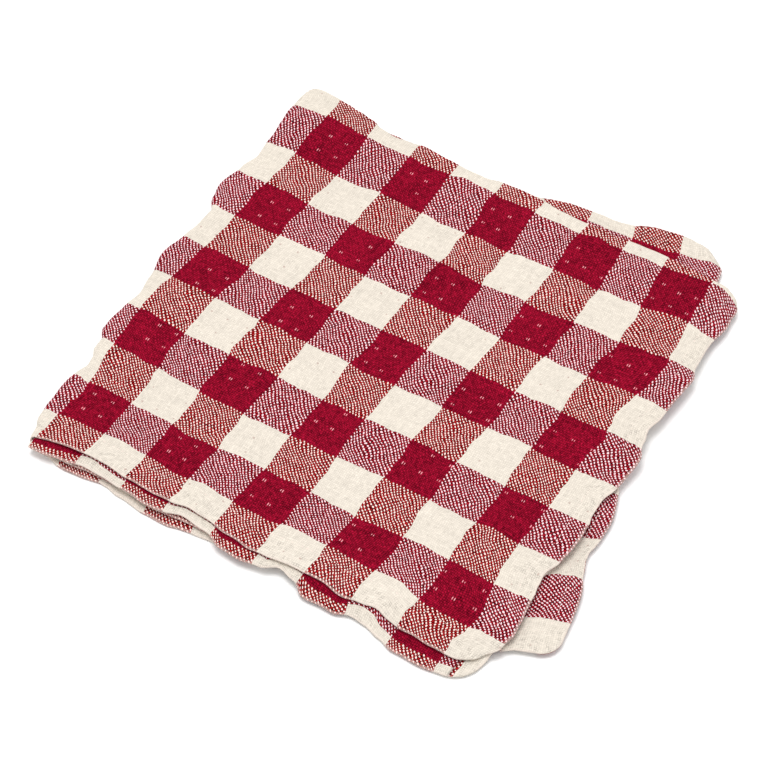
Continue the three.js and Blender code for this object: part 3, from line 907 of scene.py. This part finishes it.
def gauze():
    """Plain weave of crimson and cream threads, in checks, with its turned hems."""
    t = Tree("checked_gauze")
    checks = t.node("ShaderNodeAttribute", {"attribute_name": "checks"}).outputs["Vector"]
    hems = t.node("ShaderNodeAttribute", {"attribute_name": "hems"}).outputs["Vector"]
    u, v, side = t.split(checks)
    to_side, to_front, to_edge = t.split(hems)
    wrong = side > 0.5

    # On the wrong side the turned strips show the cloth beyond the hem's edge, the side's on top
    side_strip_width = SIDE_HEM_WIDTH + PAST_THE_SEAM
    front_strip_width = FRONT_HEM_WIDTH + PAST_THE_SEAM
    strip_side = wrong * (to_side < side_strip_width)
    strip_front = wrong * (to_front < front_strip_width) * (1.0 - strip_side)
    step_side = wrong * (1.0 - abs(to_side - side_strip_width).rise(*STEP_SHADOW_EDGE))
    step_front = wrong * (1.0 - abs(to_front - front_strip_width).rise(*STEP_SHADOW_EDGE))
    v_sign = (v > 0.0) * 2.0 - 1.0
    u_sign = (u > 0.0) * 2.0 - 1.0
    v = v + v_sign * strip_front * to_front * (2.0 / CHECK_ALONG)
    u = u + u_sign * strip_side * to_side * (2.0 / CHECK_ACROSS)

    flat = t.join(u, v, side * BACK_PLACE)
    moved = t.join(u + OTHER_PLACE[0], v + OTHER_PLACE[1], side * BACK_PLACE)
    for size, aside, ahead in zip(*WEAVE_WAVER.values()):
        u = u + t.noise(flat, size) * aside
        v = v + t.noise(moved, size) * ahead

    # Threads
    warp = u * WARP_PER_CHECK
    weft = v * WEFT_PER_CHECK
    warp_number = warp.floor()
    weft_number = weft.floor()
    red_warp = ((warp_number + THREAD_MIDDLE) * (math.pi / WARP_PER_CHECK)).cosine() < 0.0
    red_weft = ((weft_number + THREAD_MIDDLE) * (math.pi / WEFT_PER_CHECK)).cosine() < 0.0
    both_red = red_warp * red_weft
    both_white = (1.0 - red_warp) * (1.0 - red_weft)
    cell = (warp * math.pi).sine() * (weft * math.pi).sine()
    weave = cell + ((warp - weft) * math.pi).cosine() * SLANT_SHARE
    warp_up = weave.rise(-FLOAT_EDGE, FLOAT_EDGE)
    crown = abs(cell).rise(0.0, CROWN_EDGE)

    # How the threads differ: along each one, from float to float, and in soft patches
    warp_uneven = t.random(t.join(warp_number, side, WARP_DRAW))
    weft_uneven = t.random(t.join(weft_number, side, WEFT_DRAW))
    uneven = warp_uneven + weft_uneven - 1.0
    spotted = t.random(t.join(warp_number, weft_number, side)) - 0.5
    fade = t.noise(flat, PATCH_SIZE, 3.0)
    blurred = t.noise(moved, FRAY_SIZE, 2.0)
    terms = {"crown": crown, "spotted": spotted, "uneven": uneven, "fade": fade}

    # Mixed squares
    fray = spotted * FRAY_FROM_SPOTS + blurred * FRAY_FROM_NOISE
    white_side = weave * (1.0 - red_warp * 2.0) + fray
    white_thread = t.mix_colour(red_warp, COOL_WHITE, WARM_WHITE)
    red_thread = t.mix_colour(red_warp, COOL_RED, WARM_RED)
    # the crown term paints a highlight on each float's crown and shade at its edges
    white_float = t.shade(white_thread, weighed(0.60, terms, crown=0.40))
    red_float = t.shade(red_thread, weighed(0.10, terms, crown=0.90, spotted=0.40))
    pink = t.mix_colour(white_side.rise(*DASH_EDGE), red_float, white_float)

    # Red squares
    crimson = t.mix_colour(warp_up, CRIMSON_WEFT, CRIMSON_WARP)
    # the crown term is a painted highlight on each float and painted shade between the floats
    crimson_share = weighed(0.48, terms, crown=0.75, spotted=0.65, uneven=0.12, fade=0.14)
    crimson = t.shade(crimson, crimson_share)

    # White squares
    in_hem = 1.0 - to_edge.rise(SIDE_HEM_WIDTH, FRONT_HEM_WIDTH)
    hole_here = t.random(t.join(warp_number, weft_number, side + HOLE_DRAW)) > HOLES_LEFT_OUT
    hole = hole_here * (HOLE_SHADE_DEPTH + in_hem * DEEPER_IN_HEM)
    # painted shade between the threads and in the pinholes, away from the float crowns
    terms["gap"] = (hole + GAP_SHADE_DEPTH) * (1.0 - crown)
    cream_share = weighed(1.06, terms, gap=-1.0, spotted=0.12, uneven=0.05, fade=0.03)
    cream = t.shade(CREAM, cream_share)
    colour = t.mix_colour(both_red, pink, crimson)
    colour = t.mix_colour(both_white, colour, cream)

    # Where the cloths are tied, a few dark flecks show on the white squares
    tie_place_a = (u - TIE_START_ACROSS) / TIE_STEP_ACROSS + 0.5
    tie_place_b = (v - TIE_START_ALONG) / TIE_STEP_ALONG + 0.5
    off_a = (tie_place_a.fraction() - 0.5) * MM_PER_TIE_STEP[0]
    off_b = (tie_place_b.fraction() - 0.5) * MM_PER_TIE_STEP[1]
    tie_number = t.join(tie_place_a.floor(), tie_place_b.floor(), side)
    fleck = 1.0 - (off_a ** 2.0 + off_b ** 2.0).rise(*FLECK_EDGE)
    fleck = fleck * (t.random(tie_number) > FLECKS_LEFT_OUT)
    colour = t.mix_colour(fleck * both_white * FLECK_SHARE, colour, TIE_FLECK)

    # The inner edge of a turned strip throws a thin shadow, and the cloth's edges get a paler
    # painted highlight
    step = step_side + step_front * (1.0 - strip_side)
    colour = t.shade(colour, 1.0 - step * STEP_SHADOW)
    # painted highlight: the cloth's edges are painted paler
    edge_highlight = 1.0 - to_edge.rise(*EDGE_HIGHLIGHT_WIDTH)
    colour = t.mix_colour(edge_highlight * EDGE_HIGHLIGHT_SHARE, colour, PAINTED_EDGE_HIGHLIGHT)

    terms["ruffle"] = t.noise(flat, RUFFLE_SIZE, 2.0)
    height = weighed(0.0, terms, crown=0.6, spotted=0.15, ruffle=0.9)
    bump = t.node("ShaderNodeBump", Strength=BUMP_STRENGTH, Distance=BUMP_HEIGHT, Height=height)
    return t.finish(
        Base_Color=colour,
        Roughness=0.95,
        Specular_IOR_Level=0.02,
        Normal=bump.outputs[0],
    )


def plain_thread(name, colour):
    t = Tree(name)
    return t.finish(Base_Color=(*colour, 1.0), Roughness=0.85, Specular_IOR_Level=0.2)


# Tie and hem stitches

def surface_points(across, along):
    """Points on the face of the cloth, the run of its warp there, and its normal."""
    hem_across = hem_across_at(across)
    hem_along = hem_along_at(across, along)
    here = place(across, along, hem_across, hem_along)
    ahead = place(across, along + RUN_STEP, hem_across, hem_along)
    beside = place(across + RUN_STEP, along, hem_across, hem_along)
    run = ahead - here
    normal = np.cross(run, beside - here)
    run /= np.linalg.norm(run, axis=-1, keepdims=True)
    normal /= np.linalg.norm(normal, axis=-1, keepdims=True)
    return here + normal * (SHEET / 2 + STITCH_LIFT), run, normal


def is_red(measure):
    return np.cos(math.pi * measure) < 0


def check_noise(a, b, size, seed):
    """Noise over places given in checks."""
    return soft_noise(a * NOISE_PER_CHECK, b * NOISE_PER_CHECK, size, seed)


def tie_places():
    """The ties on the squares that are red both ways, each as two floats side by side."""
    k = np.arange(FIRST_TIE, LAST_TIE + 1)
    a, b = np.meshgrid(TIE_START_ACROSS + TIE_STEP_ACROSS * k, TIE_START_ALONG + TIE_STEP_ALONG * k)
    a = a.ravel()
    b = b.ravel()
    a = a + TIE_WANDER * check_noise(a, b, TIE_WANDER_NOISE, TIE_WANDER_SEEDS[0])
    b = b + TIE_WANDER * check_noise(a, b, TIE_WANDER_NOISE, TIE_WANDER_SEEDS[1])
    across = a * CHECK_ACROSS
    along = b * CHECK_ALONG
    kept = np.ones(len(a), dtype=bool)
    for measure in (a, b):
        for off in (-TIE_CLEAR_OF_EDGE, TIE_CLEAR_OF_EDGE):
            kept &= is_red(measure + off)
    kept &= check_noise(a, b, TIE_KEPT_NOISE, TIE_KEPT_SEED) < TIE_KEPT_BELOW
    kept &= np.abs(across) < hem_across_at(across) - SIDE_HEM_WIDTH
    kept &= np.abs(along) < hem_along_at(across, along) - FRONT_HEM_WIDTH
    return across[kept], along[kept]


def stitch_tree(name, thread):
    """Puts one rounded float of thread, of a given length and width, on every point."""
    tree = bpy.data.node_groups.new(name, "GeometryNodeTree")
    tree.interface.new_socket("Geometry", in_out="INPUT", socket_type="NodeSocketGeometry")
    for label in ("Length", "Width"):
        tree.interface.new_socket(label, in_out="INPUT", socket_type="NodeSocketFloat")
    tree.interface.new_socket("Geometry", in_out="OUTPUT", socket_type="NodeSocketGeometry")
    nodes = tree.nodes
    links = tree.links
    start = nodes.new("NodeGroupInput")
    end = nodes.new("NodeGroupOutput")
    ball = nodes.new("GeometryNodeMeshUVSphere")
    ball.inputs["Segments"].default_value = STITCH_SEGMENTS
    ball.inputs["Rings"].default_value = STITCH_RINGS
    ball.inputs["Radius"].default_value = 0.5
    run = nodes.new("GeometryNodeInputNamedAttribute")
    run.data_type = "FLOAT_VECTOR"
    run.inputs["Name"].default_value = "run"
    turn = nodes.new("FunctionNodeAlignRotationToVector")
    turn.axis = "X"
    size = nodes.new("ShaderNodeCombineXYZ")
    spread = nodes.new("GeometryNodeInstanceOnPoints")
    smooth = nodes.new("GeometryNodeSetShadeSmooth")
    real = nodes.new("GeometryNodeRealizeInstances")
    paint = nodes.new("GeometryNodeSetMaterial")
    paint.inputs["Material"].default_value = thread
    links.new(ball.outputs["Mesh"], spread.inputs["Instance"])
    links.new(start.outputs["Geometry"], spread.inputs["Points"])
    links.new(run.outputs["Attribute"], turn.inputs["Vector"])
    links.new(turn.outputs["Rotation"], spread.inputs["Rotation"])
    share = nodes.new("GeometryNodeInputNamedAttribute")
    share.data_type = "FLOAT"
    share.inputs["Name"].default_value = "share"
    uneven = nodes.new("ShaderNodeVectorMath")
    uneven.operation = "SCALE"
    links.new(start.outputs["Length"], size.inputs["X"])
    links.new(start.outputs["Width"], size.inputs["Y"])
    links.new(start.outputs["Width"], size.inputs["Z"])
    links.new(size.outputs[0], uneven.inputs[0])
    links.new(share.outputs["Attribute"], uneven.inputs["Scale"])
    links.new(uneven.outputs[0], spread.inputs["Scale"])
    links.new(spread.outputs["Instances"], real.inputs["Geometry"])
    links.new(real.outputs["Geometry"], smooth.inputs["Geometry"])
    links.new(smooth.outputs["Geometry"], paint.inputs["Geometry"])
    links.new(paint.outputs["Geometry"], end.inputs["Geometry"])
    return tree


def stitches(name, points, runs, length, width, thread):
    """Floats of thread at points, each along its own run, as one plain mesh."""
    seeds = bpy.data.meshes.new(name + "_points")
    seeds.from_pydata([tuple(p) for p in to_frame(points)], [], [])
    add_attribute(seeds, "run", runs)
    shares = seeds.attributes.new("share", "FLOAT", "POINT")
    chance = np.random.default_rng(STITCH_SEED)
    uneven = chance.uniform(SHORTEST_STITCH, LONGEST_STITCH, len(points))
    shares.data.foreach_set("value", uneven.astype(np.float32))
    carrier = bpy.data.objects.new(name + "_points", seeds)
    bpy.context.scene.collection.objects.link(carrier)
    tree = stitch_tree(name + "_nodes", thread)
    modifier = carrier.modifiers.new("stitches", "NODES")
    modifier.node_group = tree
    sizes = {"Length": length * MM, "Width": width * MM}
    for item in tree.interface.items_tree:
        if item.name in sizes and item.in_out == "INPUT":
            modifier[item.identifier] = sizes[item.name]
    graph = bpy.context.evaluated_depsgraph_get()
    mesh = bpy.data.meshes.new_from_object(carrier.evaluated_get(graph))
    mesh.name = name
    made = bpy.data.objects.new(name, mesh)
    bpy.context.scene.collection.objects.link(made)
    bpy.data.objects.remove(carrier)
    return made


def tie_stitches(thread):
    across, along = tie_places()
    both = np.concatenate([across - TIE_HALF_GAP, across + TIE_HALF_GAP])
    points, runs, _ = surface_points(both, np.concatenate([along, along]))
    return stitches("tie_stitches", points, runs, TIE_LENGTH, TIE_WIDTH, thread)


def hem_stitches(thread):
    """A running seam on the face, all round the cloth, at the inner edge of its hems."""
    behind_seam = -HEM_BEHIND_RIGHT + FRONT_HEM_WIDTH
    ahead_seam = HEM_AHEAD - FRONT_HEM_WIDTH
    left_seam = -HEM_LEFT + SIDE_HEM_WIDTH
    right_seam = HEM_RIGHT - SIDE_HEM_WIDTH
    along = np.arange(behind_seam, ahead_seam, HEM_STITCH_STEP)
    across = np.arange(left_seam, right_seam, HEM_STITCH_STEP)
    sides = [(np.full_like(along, edge), along, False) for edge in (left_seam, right_seam)]
    for forward in (-1.0, 1.0):
        ends = hem_along_at(across, np.full_like(across, forward)) - FRONT_HEM_WIDTH
        sides.append((across, forward * ends, True))
    points = []
    runs = []
    for a, b, sideways in sides:
        at, run, normal = surface_points(a, b)
        points.append(at - normal * HEM_STITCH_SINK)
        runs.append(np.cross(normal, run) if sideways else run)
    points = np.concatenate(points)
    runs = np.concatenate(runs)
    return stitches("hem_stitches", points, runs, HEM_STITCH_LENGTH, HEM_STITCH_WIDTH, thread)


# Floor, light and camera

def build_floor():
    signs = [(-1, -1), (1, -1), (1, 1), (-1, 1)]
    corners = [(x * FLOOR_HALF, y * FLOOR_HALF, 0) for x, y in signs]
    floor = mesh_object("floor", corners, [(0, 1, 2, 3)], smooth=False)
    floor.location.z = -FLOOR_DROP
    grey = (FLOOR_GREY, FLOOR_GREY, FLOOR_GREY, 1.0)
    paper = Tree("pale_floor").finish(Base_Color=grey, Roughness=0.9, Specular_IOR_Level=0.1)
    floor.data.materials.append(paper)
    return floor


def build_light():
    world = bpy.data.worlds.new("studio")
    bpy.context.scene.world = world
    world.use_nodes = True
    background = world.node_tree.nodes["Background"]
    background.inputs["Color"].default_value = (1.0, 1.0, 1.0, 1.0)
    background.inputs["Strength"].default_value = WORLD_STRENGTH
    lamp = bpy.data.lights.new("window", "SUN")
    lamp.energy = SUN_STRENGTH
    lamp.angle = math.radians(SUN_ANGLE)
    sun = bpy.data.objects.new("window", lamp)
    sun.rotation_euler = Vector(SUN_TOWARDS).to_track_quat("Z", "Y").to_euler()
    bpy.context.scene.collection.objects.link(sun)


def build_camera():
    data = bpy.data.cameras.new("camera")
    camera = bpy.data.objects.new("camera", data)
    bpy.context.scene.collection.objects.link(camera)
    azimuth = math.radians(CAMERA_AZIMUTH)
    elevation = math.radians(CAMERA_ELEVATION)
    back = Vector((
        math.sin(azimuth) * math.cos(elevation),
        -math.cos(azimuth) * math.cos(elevation),
        math.sin(elevation),
    ))
    aim = Vector(to_frame(np.array(CAMERA_AIM)))
    camera.location = aim + back * (CAMERA_DISTANCE * MM)
    camera.rotation_euler = back.to_track_quat("Z", "Y").to_euler()
    data.sensor_width = SENSOR
    data.lens = SENSOR * FOCAL_PIXELS / PICTURE_PIXELS
    data.clip_start = NEAREST_SEEN
    data.clip_end = FARTHEST_SEEN
    bpy.context.scene.camera = camera


# The napkin

cloth = build_cloth(sheet_shape())
cloth.data.materials.append(gauze())
ties = tie_stitches(plain_thread("white_floats", WHITE_FLOAT))
seam = hem_stitches(plain_thread("seam_thread", SEAM_THREAD))

for piece in (cloth, ties, seam):
    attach(piece, "root")
    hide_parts("napkin")

floor = build_floor()
build_light()
build_camera()
bpy.context.scene.view_settings.view_transform = "Standard"
